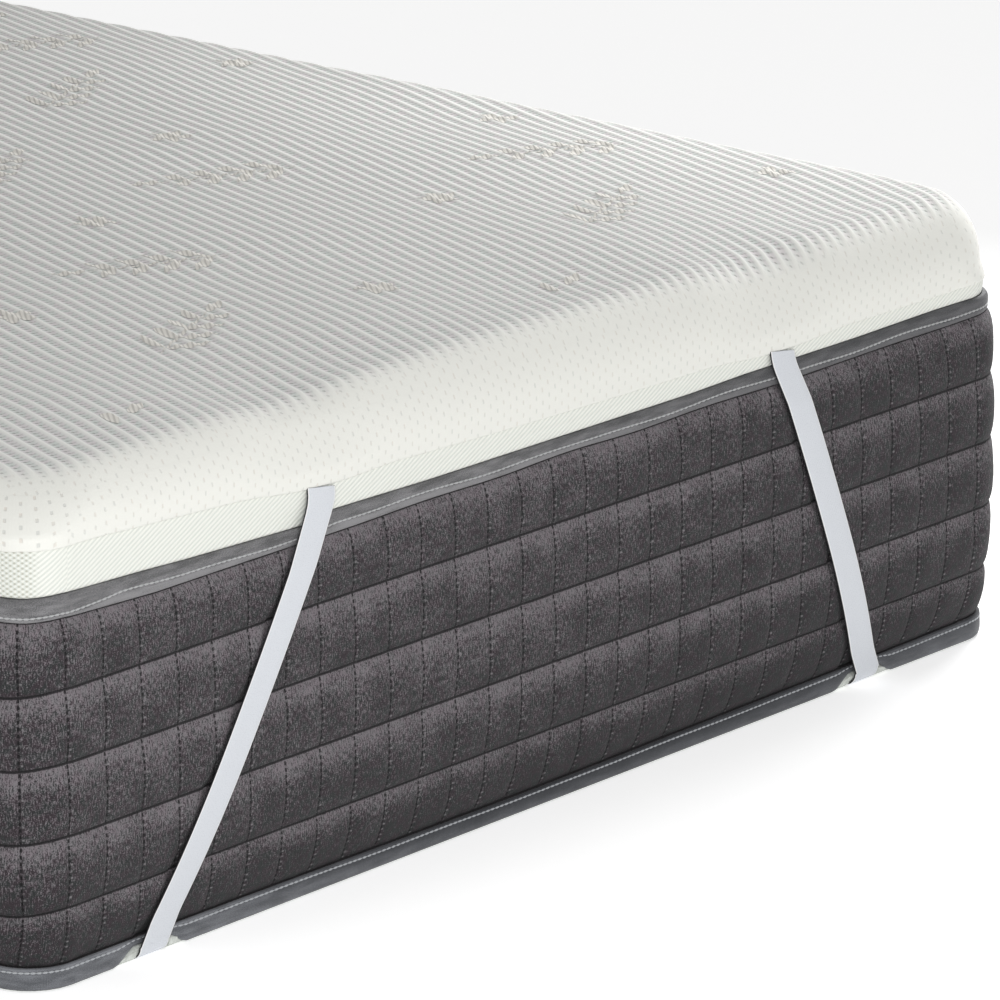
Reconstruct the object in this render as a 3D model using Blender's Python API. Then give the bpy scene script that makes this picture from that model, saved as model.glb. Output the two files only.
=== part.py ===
"""A ribbed mattress topper on a single mattress, held at each corner by an elastic strap.

Metres, +Z up. The origin is on the floor under the middle of the mattress, and the long side runs along Y.
"""

import math
from collections import namedtuple

import bmesh
import bpy
from mathutils import Vector

# Plan sizes: the mattress measured over its bulging sides
WIDTH = 0.900
LENGTH = 1.900
MATTRESS_CORNER = 0.040
TOPPER_FOOT_CORNER = 0.040
TOPPER_TOP_CORNER = 0.085
CORNER_STEPS = 6
SIDE_STEP = 0.150
MARK_ROOM = 0.004
GAP = 0.0003

# Heights above the floor
BASE_TOP = 0.009
MATTRESS_TOP = 0.225
TOPPER_FLOOR = MATTRESS_TOP + GAP
TOPPER_EDGE = 0.2905
CROWN = 0.006

# How far each face lies in from the outermost line of the mattress
BACKING_INSET = 0.0098
TAPE_INSET = 0.0060
BAND_INSET = 0.0075
COVER_INSET = 0.0050
SEAM_LIP_INSET = 0.0056

# Mattress side: five puffed rows between two bound edges
CHANNEL_HEIGHTS = (0.0508, 0.0932, 0.1357, 0.1777)
CHANNEL_DEPTH = 0.0035
BARREL_MIDDLE = 0.113
BARREL_HALF = 0.100
BARREL_INSET_ABOVE = 0.0026
BARREL_INSET_BELOW = 0.0075
# Share of a row's height, and how deep the cloth lies there
PUFF_SHAPE = ((0.0, 1.0), (0.10, 0.45), (0.28, 0.10), (0.5, 0.0), (0.72, 0.10), (0.90, 0.45))

# Bound edges of the mattress
TAPE_LOW = 0.001
TAPE_HIGH = 0.0165
TOP_TAPE_LOW = 0.2080
TAPE_LIFT = 0.0085
TAPE_PINCH = 0.0010
TAPE_SPREAD = 0.042
# Share of the tape's height, and how far its face is drawn in there
TAPE_SHAPE = ((0.0, 0.62), (0.16, 0.18), (0.50, 0.0), (0.82, 0.14), (1.0, 0.60))

# Rim of the panel underneath: share of the room below the tape, how far in, share of the nose
BASE_RIM = ((0.0, 0.0045, 1.0), (0.3, 0.0010, 1.0), (0.8, 0.0, 1.0), (1.0, 0.0002, 0.0))
NOSE = 0.0022
CHANNEL_PROUD = 0.004

# Topper cover: rounded shoulder, and ribs that run a little off the long edge
BULGE_SHARE = 0.22
LIP_ROUND = 0.0004
SHOULDER = 0.036
SHOULDER_STEPS = 6
SHOULDER_TURN = math.radians(82.0)
PLINTH_IN = 0.009
PLINTH_RISE = 0.0035
DIMPLE = 0.0035
DIMPLE_SPREAD = 0.070
WAVE = 0.0012
RIB_PITCH = 0.0094
RIB_DEPTH = 0.0012
RIB_SKEW = math.radians(18.5)
RIB_ROWS = 6
SLAB_ROOM = 0.010

# Mesh band below the cover, tallest at the front left corner
BAND_LEAST = 0.0085
BAND_EXTRA = 0.0200
BAND_FADE = 0.260
BAND_POWER = 2.2
BAND_DIP = 0.0030
# Share of the band's height, and how far its face is drawn in there
BAND_SHAPE = ((0.0, 0.35), (0.25, 0.08), (0.60, 0.0), (1.0, 0.15))

# Elastic straps
STRAP_WIDTH = 0.0235
STRAP_THICKNESS = 0.0015
STRAP_CLEAR = 0.0006
STRAP_BEND = 0.014
STRAP_TOP_INSET = 0.0070
STRAP_TOP_DROP = 0.0010
# A strap first touches the mattress side at this height, with more sections above it than below
STRAP_TOUCH = 0.200
STEPS_ABOVE = 8
STEPS_BELOW = 8
FOOT_CENTRE_INSET = 0.0140
FOOT_CENTRE_HEIGHT = 0.0092
FOOT_ABOVE = 0.006
FOOT_RADIUS = 0.0090
FOOT_STEPS = 6

Side = namedtuple("Side", "start along out length")
Mark = namedtuple("Mark", "point out pull from_front_left inward")
Strap = namedtuple("Strap", "name next_top next_foot last_top last_foot")

# Where each strap leaves the topper and passes under the mattress, measured from its corner:
# on the side that begins at that corner, then on the side that ends there
STRAPS = (
    Strap("strap_front_left", 0.2445, 0.1052, 0.2400, 0.1160),
    Strap("strap_front_right", 0.2360, 0.1280, 0.2369, 0.1510),
    Strap("strap_back_right", 0.2380, 0.1200, 0.2410, 0.1240),
    Strap("strap_back_left", 0.2430, 0.1170, 0.2350, 0.1210),
)

COLOURS = {
    "topper_cover": (0.80, 0.80, 0.77, 1.0),
    "topper_band": (0.83, 0.84, 0.74, 1.0),
    "strap": (0.74, 0.77, 0.84, 1.0),
    "mattress_side": (0.065, 0.058, 0.060, 1.0),
    "mattress_tape": (0.110, 0.112, 0.120, 1.0),
    "mattress_base": (0.60, 0.61, 0.58, 1.0),
}


def clear_scene():
    for obj in list(bpy.data.objects):
        bpy.data.objects.remove(obj, do_unlink=True)


def material(name, roughness=0.85):
    made = bpy.data.materials.get(name)
    if made is None:
        made = bpy.data.materials.new(name)
        made.use_nodes = True
        shader = made.node_tree.nodes["Principled BSDF"]
        shader.inputs["Base Color"].default_value = COLOURS[name]
        shader.inputs["Roughness"].default_value = roughness
        shader.inputs["Metallic"].default_value = 0.0
        made.diffuse_color = COLOURS[name]
    return made


def sides():
    """The four sides in turn, seen from above: front, right, back and left."""
    x, y = WIDTH / 2, LENGTH / 2
    return (
        Side(Vector((-x, -y)), Vector((1, 0)), Vector((0, -1)), WIDTH),
        Side(Vector((x, -y)), Vector((0, 1)), Vector((1, 0)), LENGTH),
        Side(Vector((x, y)), Vector((-1, 0)), Vector((0, 1)), WIDTH),
        Side(Vector((-x, y)), Vector((0, -1)), Vector((-1, 0)), LENGTH),
    )


def smooth(value):
    value = min(1.0, max(0.0, value))
    return value * value * (3 - 2 * value)


def pull_at(distance, spread):
    """1 under a strap, falling smoothly to 0 at the spread. A spread of 0 is no pull at all."""
    if spread == 0.0:
        return 0.0
    half = STRAP_WIDTH / 2
    return smooth((spread - abs(distance)) / (spread - half))


def strap_centres(index, level):
    """Distances along one side, from its start, at which its two straps lie."""
    side = sides()[index]
    first = STRAPS[index]
    last = STRAPS[(index + 1) % 4]
    if level == "top":
        return first.next_top, side.length - last.last_top
    return first.next_foot, side.length - last.last_foot


def side_distances(index, level, spread):
    """Where one side's marks go: a few beside each strap, and even steps between."""
    side = sides()[index]
    if spread == 0.0:
        return [side.length / 2]
    half = STRAP_WIDTH / 2
    centres = strap_centres(index, level)
    offsets = (-spread, -(spread + half) / 2, -half, half, (spread + half) / 2, spread)
    near = [centre + offset for centre in centres for offset in offsets]
    steps = round(side.length / SIDE_STEP)
    even = [side.length * n / steps for n in range(1, steps)]
    clear = [d for d in even if min(abs(d - n) for n in near) > SIDE_STEP / 5]
    corner = TOPPER_TOP_CORNER if level == "top" else MATTRESS_CORNER
    least = corner + MARK_ROOM
    return sorted(d for d in near + clear if least < d < side.length - least)


def front_left_distance(index, distance):
    """Distance round the edge from the front left corner, or a long way on the far sides."""
    if index == 0:
        return distance
    if index == 3:
        return LENGTH - distance
    return LENGTH


def side_marks(index, level, spread):
    side = sides()[index]
    centres = strap_centres(index, level)
    marks = []
    for distance in side_distances(index, level, spread):
        point = side.start + side.along * distance
        pull = max(pull_at(distance - centre, spread) for centre in centres)
        far = front_left_distance(index, distance)
        marks.append(Mark(point, side.out, pull, far, None))
    return marks


def corner_marks(index):
    """The rounded corner where this side begins."""
    side = sides()[index]
    before = sides()[index - 1]
    inward = -(side.out + before.out)
    far = (0.0, WIDTH, LENGTH, LENGTH)[index]
    marks = []
    for step in range(CORNER_STEPS + 1):
        turn = math.pi / 2 * step / CORNER_STEPS
        out = before.out * math.cos(turn) + side.out * math.sin(turn)
        marks.append(Mark(side.start, out, 0.0, far, inward))
    return marks


def marks_round(level, spread):
    """Marks all round the edge, with the way outwards and the pull of the straps at each."""
    marks = []
    for index in range(4):
        marks += corner_marks(index)
        marks += side_marks(index, level, spread)
    return marks


def place(mark, inset, height, corner=MATTRESS_CORNER):
    """The point this far in from the outermost line, whose corners have the radius given."""
    flat = mark.point - mark.out * inset
    if mark.inward is not None:
        flat += (mark.inward + mark.out) * corner
    return Vector((flat.x, flat.y, height))


def add_object(name, mesh_data, slot):
    mesh = bpy.data.meshes.new(name)
    bmesh.ops.recalc_face_normals(mesh_data, faces=mesh_data.faces)
    mesh_data.to_mesh(mesh)
    mesh_data.free()
    mesh.materials.append(material(slot))
    obj = bpy.data.objects.new(name, mesh)
    bpy.context.scene.collection.objects.link(obj)
    return obj


def loft(name, rings, slot, closed=False):
    """A solid through rings of points: capped at both ends, or joined end to end."""
    built = bmesh.new()
    rows = [[built.verts.new(point) for point in ring] for ring in rings]
    pairs = list(zip(rows, rows[1:]))
    if closed:
        pairs.append((rows[-1], rows[0]))
    for lower, upper in pairs:
        count = len(lower)
        for n in range(count):
            after = (n + 1) % count
            built.faces.new((lower[n], lower[after], upper[after], upper[n]))
    if not closed:
        built.faces.new(rows[0])
        built.faces.new(rows[-1])
    return add_object(name, built, slot)


def helper(obj):
    """Keeps a cutting shape out of the finished part."""
    obj.hide_render = True
    obj.display_type = "WIRE"
    return obj


def barrel_inset(height):
    """The mattress side bulges at the middle of its height, and draws in more below than above."""
    most = BARREL_INSET_ABOVE if height > BARREL_MIDDLE else BARREL_INSET_BELOW
    lean = abs(height - BARREL_MIDDLE) / BARREL_HALF
    return most * lean**2.2


def mattress_side():
    """The quilted border and what fills it: five puffed rows between sewn channels."""
    marks = marks_round("foot", 0.0)
    low = TAPE_HIGH + 2 * GAP
    high = TOP_TAPE_LOW - 2 * GAP
    levels = [(BASE_TOP + GAP, BACKING_INSET), (low, BACKING_INSET)]
    edges = (low, *CHANNEL_HEIGHTS, high)
    for lower, upper in zip(edges, edges[1:]):
        for along, depth in PUFF_SHAPE:
            height = lower + along * (upper - lower)
            if along > 0.0 or lower != low:
                levels.append((height, barrel_inset(height) + depth * CHANNEL_DEPTH))
    levels += [(high, BACKING_INSET), (MATTRESS_TOP - GAP, BACKING_INSET)]
    rings = [[place(mark, inset, height) for mark in marks] for height, inset in levels]
    return loft("mattress_side", rings, "mattress_side")


def tape_low_at(mark):
    """The lower edge of the bottom tape, which each strap lifts."""
    return TAPE_LOW + TAPE_LIFT * mark.pull


def mattress_base():
    """The pale panel underneath. Its rim shows where a strap lifts the tape."""
    marks = marks_round("foot", TAPE_SPREAD)
    rings = []
    for share, rounding, nose in BASE_RIM:
        ring = []
        for mark in marks:
            room = tape_low_at(mark) - 2 * GAP
            inset = BACKING_INSET + rounding - NOSE * mark.pull * nose
            ring.append(place(mark, inset, room * share))
        rings.append(ring)
    rings.append([place(mark, BACKING_INSET + GAP, BASE_TOP) for mark in marks])
    base = loft("mattress_base", rings, "mattress_base")
    for strap_index in range(4):
        cut = base.modifiers.new(STRAPS[strap_index].name, "BOOLEAN")
        cut.operation = "DIFFERENCE"
        cut.solver = "MANIFOLD"
        cut.object = helper(strap_solid(strap_index, "channel_for_", GAP, CHANNEL_PROUD))
    return base


def tape_ring(name, level, low_of, high, pinch):
    """A binding with a rounded outer face, as a closed ring round the mattress."""
    marks = marks_round(level, TAPE_SPREAD)
    back = BACKING_INSET - GAP
    rings = []
    for share, drawn in TAPE_SHAPE:
        ring = []
        for mark in marks:
            low = low_of(mark)
            face = TAPE_INSET + pinch * mark.pull
            inset = face + (back - face) * drawn
            ring.append(place(mark, inset, low + (high - low) * share))
        rings.append(ring)
    rings.append([place(mark, back, high) for mark in marks])
    rings.append([place(mark, back, low_of(mark)) for mark in marks])
    return loft(name, rings, "mattress_tape", closed=True)


def mattress_tapes():
    tape_ring("mattress_tape_bottom", "foot", tape_low_at, TAPE_HIGH, TAPE_PINCH)
    high = MATTRESS_TOP - GAP
    tape_ring("mattress_tape_top", "top", lambda mark: TOP_TAPE_LOW, high, 0.0)


def seam_height(mark):
    """The seam between cover and band: high at the front left corner, lower at each strap."""
    extra = BAND_EXTRA / (1 + (mark.from_front_left / BAND_FADE) ** BAND_POWER)
    return TOPPER_FLOOR + BAND_LEAST + extra - BAND_DIP * mark.pull


def edge_wave(mark):
    """A slight unevenness along the topper's sides."""
    flat = mark.point
    return WAVE * (math.sin(9.0 * flat.x + 1.0) + math.sin(7.0 * flat.y + 2.0)) / 2


def topper_band():
    """The mesh strip round the foot of the topper, a little drawn in."""
    marks = marks_round("top", DIMPLE_SPREAD)
    back = BACKING_INSET - GAP
    rings = []
    for share, drawn in BAND_SHAPE:
        inset = BAND_INSET + (back - BAND_INSET) * drawn
        ring = []
        for mark in marks:
            height = TOPPER_FLOOR + (seam_height(mark) - GAP - TOPPER_FLOOR) * share
            ring.append(place(mark, inset, height, TOPPER_FOOT_CORNER))
        rings.append(ring)
    top = [place(mark, back, seam_height(mark) - GAP, TOPPER_FOOT_CORNER) for mark in marks]
    floor = [place(mark, back, TOPPER_FLOOR, TOPPER_FOOT_CORNER) for mark in marks]
    return loft("topper_band", rings + [top, floor], "topper_band", closed=True)


def crown_height(x, y):
    across = 1 - min(1.0, (2 * x / WIDTH) ** 2)
    along = 1 - min(1.0, (2 * y / LENGTH) ** 2)
    return TOPPER_EDGE + CROWN * across * along


def ribbed_slab():
    """A block whose upper face carries the ribs. It trims the cover's top."""
    reach_y = LENGTH / 2 + SLAB_ROOM
    lean = math.tan(RIB_SKEW)
    reach_x = WIDTH / 2 + SLAB_ROOM + reach_y * lean
    step = RIB_PITCH / math.cos(RIB_SKEW) / 2
    columns = math.ceil(reach_x / step)
    below = TOPPER_FLOOR - 2 * SLAB_ROOM
    rings = []
    for column in range(-columns, columns + 1):
        drop = RIB_DEPTH * (column % 2)
        upper = []
        for row in range(RIB_ROWS + 1):
            y = reach_y * (2 * row / RIB_ROWS - 1)
            x = column * step + y * lean
            upper.append(Vector((x, y, crown_height(x, y) - drop)))
        first, last = upper[0], upper[-1]
        rings.append(upper + [Vector((last.x, last.y, below)), Vector((first.x, first.y, below))])
    return helper(loft("ribbed_slab", rings, "topper_cover"))


def cover_levels(mark):
    """(inset, height, corner radius) up the cover's side at one mark, from its flat underside."""
    seam = seam_height(mark)
    bulge = seam + (TOPPER_EDGE - seam) * BULGE_SHARE
    lip = SEAM_LIP_INSET
    side = COVER_INSET + edge_wave(mark)
    foot = TOPPER_FOOT_CORNER
    levels = [
        (BACKING_INSET, TOPPER_FLOOR, foot),
        (BACKING_INSET, seam, foot),
        (lip, seam, foot),
        ((lip + side) / 2 - LIP_ROUND, (seam + bulge) / 2, foot),
    ]
    for step in range(SHOULDER_STEPS + 1):
        turn = SHOULDER_TURN * step / SHOULDER_STEPS
        dent = DIMPLE * mark.pull * math.sin(turn * 2) * (1 - turn / math.pi)
        inset = side + SHOULDER * (1 - math.cos(turn)) + dent
        height = bulge + (TOPPER_EDGE - bulge) * math.sin(turn)
        corner = foot + (TOPPER_TOP_CORNER - foot) * math.sin(turn)
        levels.append((inset, height, corner))
    inside = COVER_INSET + SHOULDER + PLINTH_IN
    levels.append((inside, TOPPER_EDGE + PLINTH_RISE, TOPPER_TOP_CORNER))
    levels.append((inside + GAP, TOPPER_EDGE + 2 * CROWN, TOPPER_TOP_CORNER))
    return levels


def topper_cover():
    """The filled topper: drawn in at its foot, rounded at its shoulder, ribbed on top."""
    marks = marks_round("top", DIMPLE_SPREAD)
    columns = [[place(mark, *level) for level in cover_levels(mark)] for mark in marks]
    rings = [list(ring) for ring in zip(*columns)]
    cover = loft("topper_cover", rings, "topper_cover")
    trim = cover.modifiers.new("ribs", "BOOLEAN")
    trim.operation = "INTERSECT"
    trim.solver = "EXACT"
    trim.object = ribbed_slab()
    return cover


def strap_inset(height, seam):
    """The inner face of a strap. It runs straight from the seam to the mattress side, and lies on it below."""
    if height < STRAP_TOUCH:
        return min(barrel_inset(height) - STRAP_CLEAR, TAPE_INSET - GAP)
    touching = barrel_inset(STRAP_TOUCH) - STRAP_CLEAR
    share = (height - STRAP_TOUCH) / (seam - STRAP_TOUCH)
    return touching + (STRAP_TOP_INSET - touching) * share


def drift(below):
    """How far sideways a strap has gone at a depth below its seam, where its slant is one to one."""
    bent = min(1.0, below / STRAP_BEND)
    return STRAP_BEND * (bent**3 - bent**4 / 2) + max(0.0, below - STRAP_BEND)


def lean_share(height, seam):
    """How far a strap has leaned towards its corner: none at the seam, all at the foot.

    It leaves the seam straight down, bends, and then slants evenly to the foot.
    """
    return drift(max(0.0, seam - height)) / drift(seam - FOOT_CENTRE_HEIGHT)


def strap_heights(seam):
    foot = FOOT_CENTRE_HEIGHT + FOOT_ABOVE
    above = [seam + (STRAP_TOUCH - seam) * n / STEPS_ABOVE for n in range(STEPS_ABOVE)]
    below = [STRAP_TOUCH + (foot - STRAP_TOUCH) * n / STEPS_BELOW for n in range(STEPS_BELOW + 1)]
    return above + below


def strap_run(side, top, foot, seam, room, proud):
    """Sections of one strap down one side, from the seam to where it has turned under.

    The distances run from the corner along the side. The inner face moves in by the room,
    and the outer face lies the thickness and the proud further out.
    """
    half = STRAP_WIDTH / 2 + room

    def section(distance, inner, outer, low, high):
        corners = ((inner, low, -half), (inner, low, half), (outer, high, half), (outer, high, -half))
        points = []
        for inset, height, reach in corners:
            flat = side.start + side.along * (distance + reach) - side.out * inset
            points.append(Vector((flat.x, flat.y, height)))
        return points

    sections = []
    for height in strap_heights(seam):
        inner = strap_inset(height, seam)
        outer = inner - STRAP_THICKNESS - proud
        distance = top + (foot - top) * lean_share(height, seam)
        sections.append(section(distance, inner + room, outer, height, height))
    near = FOOT_RADIUS - STRAP_THICKNESS - room
    far = FOOT_RADIUS + proud
    for step in range(FOOT_STEPS + 1):
        turn = math.pi / 2 * step / FOOT_STEPS
        inner = FOOT_CENTRE_INSET - near * math.cos(turn)
        outer = FOOT_CENTRE_INSET - far * math.cos(turn)
        low = FOOT_CENTRE_HEIGHT - near * math.sin(turn)
        high = FOOT_CENTRE_HEIGHT - far * math.sin(turn)
        sections.append(section(foot, inner, outer, low, high))
    return sections


def strap_top(from_front_left):
    """The height at which a strap comes out from under the cover."""
    under_strap = Mark(None, None, 1.0, from_front_left, None)
    return seam_height(under_strap) - STRAP_TOP_DROP


def strap_solid(index, prefix="", room=0.0, proud=0.0):
    """One elastic: down one side, under the corner and up the next side."""
    strap = STRAPS[index]
    after = sides()[index]
    before = sides()[index - 1]
    # The side that ends at this corner is measured backwards from it
    mirrored = Side(after.start, -before.along, before.out, before.length)
    far_next = front_left_distance(index, strap.next_top)
    far_last = front_left_distance((index - 1) % 4, before.length - strap.last_top)
    down = strap_run(after, strap.next_top, strap.next_foot, strap_top(far_next), room, proud)
    up = strap_run(mirrored, strap.last_top, strap.last_foot, strap_top(far_last), room, proud)
    return loft(prefix + strap.name, down + up[::-1], "strap")


def main():
    clear_scene()
    mattress_side()
    mattress_base()
    mattress_tapes()
    topper_band()
    topper_cover()
    for index in range(4):
        strap_solid(index)


main()
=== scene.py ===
"""Looks of a ribbed mattress topper on a single mattress, held at each corner by an elastic strap.

Metres, +Z up. The origin is on the floor under the middle of the mattress, and the long side runs along Y.
"""

import math
from collections import namedtuple

import bpy
import numpy as np
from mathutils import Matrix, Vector


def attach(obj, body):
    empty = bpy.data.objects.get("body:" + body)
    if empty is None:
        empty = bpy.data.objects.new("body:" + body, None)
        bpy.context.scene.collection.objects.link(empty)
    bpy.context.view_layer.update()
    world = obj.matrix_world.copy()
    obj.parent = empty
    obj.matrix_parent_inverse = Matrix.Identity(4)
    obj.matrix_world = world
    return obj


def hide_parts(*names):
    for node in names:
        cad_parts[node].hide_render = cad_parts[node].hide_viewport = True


RIGHT_ANGLE = math.pi / 2

# Plan sizes, over the bulging sides of the mattress
WIDTH = 0.900
LENGTH = 1.900
FOOT_CORNER = 0.040
TOP_CORNER = 0.085
FRONT_RIGHT_CORNER = 0.057
FRONT_RIGHT_BAND = 0.045
# Up to here from a corner, points move along the side to make room for a wider radius
KNEE = 0.092
EDGE_STEP = 0.004
SIDE_STEP = 0.005
STITCH_STEP = 0.0014

# Heights above the floor
MATTRESS_TOP = 0.225
TOPPER_FLOOR = 0.2253
TOPPER_EDGE = 0.2905
CROWN = 0.006

# How far each face lies in from the outermost line of the mattress
BACKING_INSET = 0.0098
TAPE_BACK = 0.0095
TAPE_INSET = 0.0060
LOW_TAPE_INSET = 0.0072
BAND_INSET = 0.0075
COVER_INSET = 0.0050
SEAM_LIP_INSET = 0.0062

# Topper cover
SHOULDER = 0.036
BULGE_SHARE = 0.22
PANEL_TURN = math.radians(40.0)
SIDE_TURNS = (42.5, 39.5, 36, 32, 28, 24, 20, 16, 12, 8, 4, 0)
SIDE_SHARES = (0.2, 0.4, 0.6, 0.8, 0.93)
# The last rows of points, where the side turns in at the seam: how far in, and how far above the seam
SEAM_LIP = ((SEAM_LIP_INSET + 0.0002, 0.0004), (SEAM_LIP_INSET + 0.0009, 0.0), (BACKING_INSET, 0.0002))
UNDERLAP = 0.00015
DIMPLE = 0.0050
DIMPLE_SPREAD = 0.070
LONG_SIDE_PULL = 0.10
WAVE = 0.0012
WAVE_RATES = (9.0, 7.0)
SWELL = 0.0019
SWELL_LENGTH = 0.130
SWELL_FROM = (0.02, 0.06)
SAG = 0.0070
SAG_REACH = 0.050
CORNER_PATH = 0.060
CORNER_PINS = 0.35
CORNER_PINNED = (0.015, 0.030)

# Ribs, and where they and the marks between them fade out, as depths inwards from the edge
RIB_PITCH = 0.0094
RIB_DEPTH = 0.0012
RIB_SKEW = math.radians(18.5)
RIB_LEAN = math.tan(RIB_SKEW)
RIB_FADE = (0.022, 0.040)
SHADE_FADE = (0.021, 0.046)
PIT_FADE = (0.014, 0.040)
PIN_FADE = (0.020, 0.036)
# Towards the right the ribs run further down over the edge: by how much, and from where to where
FADE_SHIFT = 0.0080
FADE_SHIFT_SPAN = (0.45, 0.70)
WANDER = 0.0012
WANDER_LENGTH = 0.160
# Columns of points across one rib: share of the pitch from the ridge, and depth there
RIB_SHAPE = (
    (-0.50, 1.0), (-0.36, 0.97), (-0.25, 0.70), (-0.13, 0.16),
    (0.0, 0.0), (0.13, 0.16), (0.25, 0.70), (0.36, 0.97),
)
# Depths of the panel's rows of points, inwards from its edge, and how many steps lie between them
PANEL_ROWS = (0.0, 0.0012, 0.0025, 0.0040, 0.0057, 0.0076, 0.0097, 0.0121, 0.0150, 0.0182, 0.0220, 0.0270)
PANEL_STEPS = 22
LEAST_ROOM = 0.001
HALVINGS = 28

# Motif on the cover
SPRIG = 0.098
STEM_WIDTH = 0.0026
LEAF_WIDTH = 0.0085
LEAF = 0.030
LEAF_LESS = 0.003
LEAF_START = 0.014
LEAF_GAP = 0.021
LEAF_TURN = math.radians(48)
TIP_LEAF = 0.024
PETAL = 0.015
MOTIF_ACROSS = 0.190
MOTIF_ALONG = 0.230
MOTIF_MARGIN = 0.045
MOTIF_RISE = 0.0003

# Mesh band
BAND_LEAST = 0.0085
BAND_EXTRA = 0.0200
BAND_FADE = 0.260
BAND_POWER = 2.2
BAND_DIP = 0.0030
BAND_SHARES = (0.0, 0.05, 0.15, 0.3, 0.5, 0.7, 0.88, 1.0)
BAND_SWELL = 0.0004
BAND_SWELL_LENGTH = 0.05
BAND_BULGE = 0.0010
BAND_OVERLAP = 0.0003
# Up to here in the front left corner the band shows crossed lines
BAND_CROSSED = (-0.030, -0.020)

# Mattress border: quilted cells between two bound edges
CHANNEL_HEIGHTS = (0.0508, 0.0932, 0.1357, 0.1777)
CHANNEL_DEPTH = 0.0015
PUFF_DEPTH = 0.0015
SEAM_DEPTH = 0.0011
TUCK = 0.0016
# How far the rows lie below these heights: at the left, more at the right, and in the front left corner
ROW_DROP = 0.0030
ROW_DROP_RIGHT = 0.0010
ROW_DROP_SPAN = (0.10, 0.80)
ROW_DROP_CORNER = 0.0032
CORNER_LOWEST = -0.050
CORNER_REACH = (0.003, 0.044)
BARREL_MIDDLE = 0.113
BARREL_HALF = 0.100
BARREL_INSET_ABOVE = 0.0026
BARREL_INSET_BELOW = 0.0080
BARREL_POWER = 2.2
CELLS = 188
FIRST_SEAM = 0.0216
ROW = 0.0423
ROWS = 5
CELL_COLUMNS = (0.0, 0.025, 0.07, 0.14, 0.23, 0.32, 0.41, 0.5, 0.59, 0.68, 0.77, 0.86, 0.93, 0.975)
BORDER_TURN_IN = 0.001
CELL_ROWS = (0.0, 0.02, 0.06, 0.12, 0.22, 0.35, 0.5, 0.65, 0.78, 0.88, 0.94, 0.98)
# Unevenness of the quilting: depth, length, height and seed
UNEVEN = ((0.0004, 0.024, 0.020, 11), (0.0002, 0.009, 0.016, 12))
# How far the upright seams drift sideways, as they near the bottom tape and the top one, along each side
SEAM_LEAN = ((0.002, 0.0085), (0.0, 0.004))
# Small upright folds: depth, length, how far they reach down from the top tape and up from the bottom one,
# what share of them is left far from a corner, and how far from it they fade
FOLD_DEPTH = 0.0007
FOLD_LENGTH = 0.0075
FOLD_REACH_TOP = 0.011
FOLD_REACH_FOOT = 0.008
FOLD_LEAST = 0.35
FOLD_CORNER = 0.12
# How deep a strap presses into the quilting, and where that fades out beside it
PRESS = 0.0018
PRESS_EDGE = (-0.0020, 0.0016)

# Bound edges
TAPE_LOW = 0.001
TAPE_HIGH = 0.0137
# A dip and a rise of the bottom tape's upper edge: how much, where, and how far it reaches
LOW_TAPE_DIP = (0.0021, 0.42, 0.20)
LOW_TAPE_RISE = (0.0018, 0.93, 0.10)
TAPE_LIFT = 0.0085
TAPE_PINCH = 0.0010
TAPE_SPREAD = 0.030
TOP_TAPE_TALL = 0.0132
TOP_TAPE_SHORT = 0.0113
TOP_TAPE_SPAN = (0.16, 0.52)
TAPE_WAVE = 0.0008
TAPE_WAVE_LENGTH = 0.055
# Share of a tape's height from its sewn edge, and how far its face is drawn in there
TAPE_SHAPE = (
    (0.0, 0.34), (0.03, 0.20), (0.08, 0.13), (0.14, 0.09), (0.20, 0.07), (0.26, 0.06), (0.32, 0.05),
    (0.38, 0.04), (0.44, 0.02), (0.50, 0.0), (0.57, 0.0), (0.65, 0.0), (0.74, 0.04), (0.86, 0.16),
    (0.95, 0.36), (1.0, 0.62),
)
# How far the tape is drawn in along its stitches, and how wide that groove is, as shares
GROOVE = 0.13
GROOVE_REACH = 0.05

# Share of the top tape's height at which its stitches run, by the distance from the front left corner
STITCH_SHARE = ((0.0, 0.20), (0.036, 0.31), (0.071, 0.42), (0.120, 0.40))
LOW_STITCH_SHARE = 0.16
STITCH_UNEVEN = 0.13
STITCH_UNEVEN_FROM = (0.03, 0.12)
LOW_STITCH_UNEVEN = 0.03
STITCH_WAVE = 0.060
THREAD_OUT = 0.0005
THREAD_UP = 0.0007
THREAD_SINK = 0.0002
# Thickness of the thread at the points along it: thin where it sinks in, full on each stitch
THREAD_BEADS = (0.35, 1.0, 1.0)

# Where painted shade darkens the front towards its right, and where that ends on the next side
DARKER = (0.30, 0.80)
PALER = (1.00, 1.60)
TOP_TAPE_SHADE = 0.58

# How far the top tape's upper edge lies above its even height, by the distance from the front left corner
TOP_RISE = (
    (0.0, 0.0018), (0.025, 0.0026), (0.040, 0.0019), (0.090, 0.0004), (0.127, -0.0012), (0.226, -0.0039),
    (0.248, 0.0), (0.330, -0.0012), (0.570, -0.0012), (0.620, -0.0001), (0.730, 0.0), (0.810, 0.0012),
    (1.0, 0.0),
)

# Elastic straps
STRAP_WIDTH = 0.0235
STRAP_THICKNESS = 0.0013
STRAP_CLEAR = 0.0007
STRAP_BEND = 0.014
STRAP_TOP_INSET = 0.0069
STRAP_TOP_TILT = 0.0018
STRAP_TOUCH = 0.200
STRAP_OVER_TAPE = 0.0056
STRAP_ROWS = 56
FOOT_CENTRE_INSET = 0.0140
FOOT_CENTRE_HEIGHT = 0.0092
FOOT_RADIUS = 0.0090
FOOT_STEPS = 14
UNDER_STEPS = 12
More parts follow.
